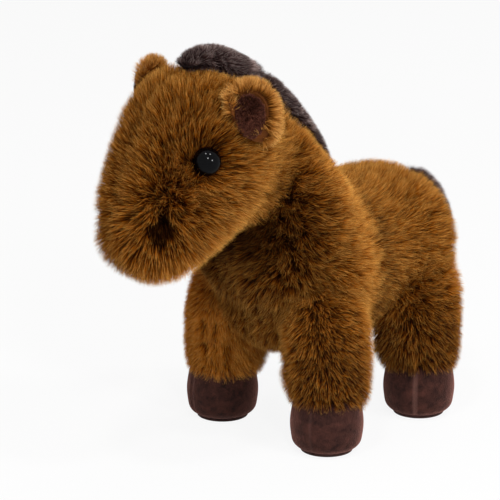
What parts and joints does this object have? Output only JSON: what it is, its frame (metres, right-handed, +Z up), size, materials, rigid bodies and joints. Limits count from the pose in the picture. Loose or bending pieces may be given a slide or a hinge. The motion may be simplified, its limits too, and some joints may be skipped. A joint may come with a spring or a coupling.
{
  "type": "plush horse",
  "caption": "Standing plush horse of long brown pile, with a dark mane and tail, short-pile hooves, round ears and glossy eyes, for play or display.",
  "frame": {"origin": "on the ground, under the middle of the horse's box", "axes": "+Z up, -Y towards the nose, +X towards the horse's left side"},
  "size_m": [0.1402, 0.28, 0.2499],
  "materials": {
    "brown_pile": "long brown pile with golden tips",
    "ear_pile": "long light brown pile",
    "dark_pile": "near-black pile with greyish tips",
    "hoof_plush": "short dense dark brown pile",
    "sole_plush": "short dense dark brown pile",
    "lining_plush": "short dark reddish brown pile",
    "white_fibre": "loose white polyester fibre",
    "eye_plastic": "glossy black",
    "washer_plastic": "plain white"
  },
  "bodies": {
    "torso": {"body_cover": "brown_pile", "body_stuffing": "white_fibre", "neck_cover": "brown_pile", "neck_stuffing": "white_fibre", "mane_crest": "dark_pile"},
    "head": {"head_cover": "brown_pile", "head_stuffing": "white_fibre", "mane_poll": "dark_pile", "eye_left": "eye_plastic", "eye_right": "eye_plastic", "eye_washer_left": "washer_plastic", "eye_washer_right": "washer_plastic"},
    "front_left_leg": {"front_left_leg_cover": "brown_pile", "front_left_leg_stuffing": "white_fibre", "front_left_leg_hoof": "hoof_plush", "front_left_leg_sole": "sole_plush"},
    "front_right_leg": {"front_right_leg_cover": "brown_pile", "front_right_leg_stuffing": "white_fibre", "front_right_leg_hoof": "hoof_plush", "front_right_leg_sole": "sole_plush"},
    "hind_left_leg": {"hind_left_leg_cover": "brown_pile", "hind_left_leg_stuffing": "white_fibre", "hind_left_leg_hoof": "hoof_plush", "hind_left_leg_sole": "sole_plush"},
    "hind_right_leg": {"hind_right_leg_cover": "brown_pile", "hind_right_leg_stuffing": "white_fibre", "hind_right_leg_hoof": "hoof_plush", "hind_right_leg_sole": "sole_plush"},
    "ear_left": {"ear_left_cover": "ear_pile", "ear_left_lining": "lining_plush"},
    "ear_right": {"ear_right_cover": "ear_pile", "ear_right_lining": "lining_plush"},
    "tail": {"tail": "dark_pile"}
  },
  "joints": [
    {"name": "head_nod", "type": "hinge", "parent": "torso", "child": "head", "pos_m": [0, -0.0416, 0.178], "axis": [1, 0, 0], "range_deg": [-8, 8], "stiffness_Nm_per_rad": 1},
    {"name": "front_left_leg_swing", "type": "hinge", "parent": "torso", "child": "front_left_leg", "pos_m": [0.04435, -0.0086, 0.088], "axis": [1, 0, 0], "range_deg": [-10, 10], "stiffness_Nm_per_rad": 1.5},
    {"name": "front_right_leg_swing", "type": "hinge", "parent": "torso", "child": "front_right_leg", "pos_m": [-0.04435, -0.0086, 0.088], "axis": [1, 0, 0], "range_deg": [-10, 10], "stiffness_Nm_per_rad": 1.5},
    {"name": "hind_left_leg_swing", "type": "hinge", "parent": "torso", "child": "hind_left_leg", "pos_m": [0.03865, 0.0814, 0.088], "axis": [1, 0, 0], "range_deg": [-10, 10], "stiffness_Nm_per_rad": 1.5},
    {"name": "hind_right_leg_swing", "type": "hinge", "parent": "torso", "child": "hind_right_leg", "pos_m": [-0.03865, 0.0814, 0.088], "axis": [1, 0, 0], "range_deg": [-10, 10], "stiffness_Nm_per_rad": 1.5},
    {"name": "ear_left_fold", "type": "hinge", "parent": "head", "child": "ear_left", "pos_m": [0.0412, -0.0683, 0.2041], "axis": [0.5, 0.866, 0], "range_deg": [-10, 20], "stiffness_Nm_per_rad": 0.05},
    {"name": "ear_right_fold", "type": "hinge", "parent": "head", "child": "ear_right", "pos_m": [-0.0412, -0.0683, 0.2041], "axis": [0.5, -0.866, 0], "range_deg": [-10, 20], "stiffness_Nm_per_rad": 0.05},
    {"name": "tail_lift", "type": "hinge", "parent": "torso", "child": "tail", "pos_m": [0, 0.1082, 0.1387], "axis": [1, 0, 0], "range_deg": [0, 60], "stiffness_Nm_per_rad": 0.05}
  ]
}
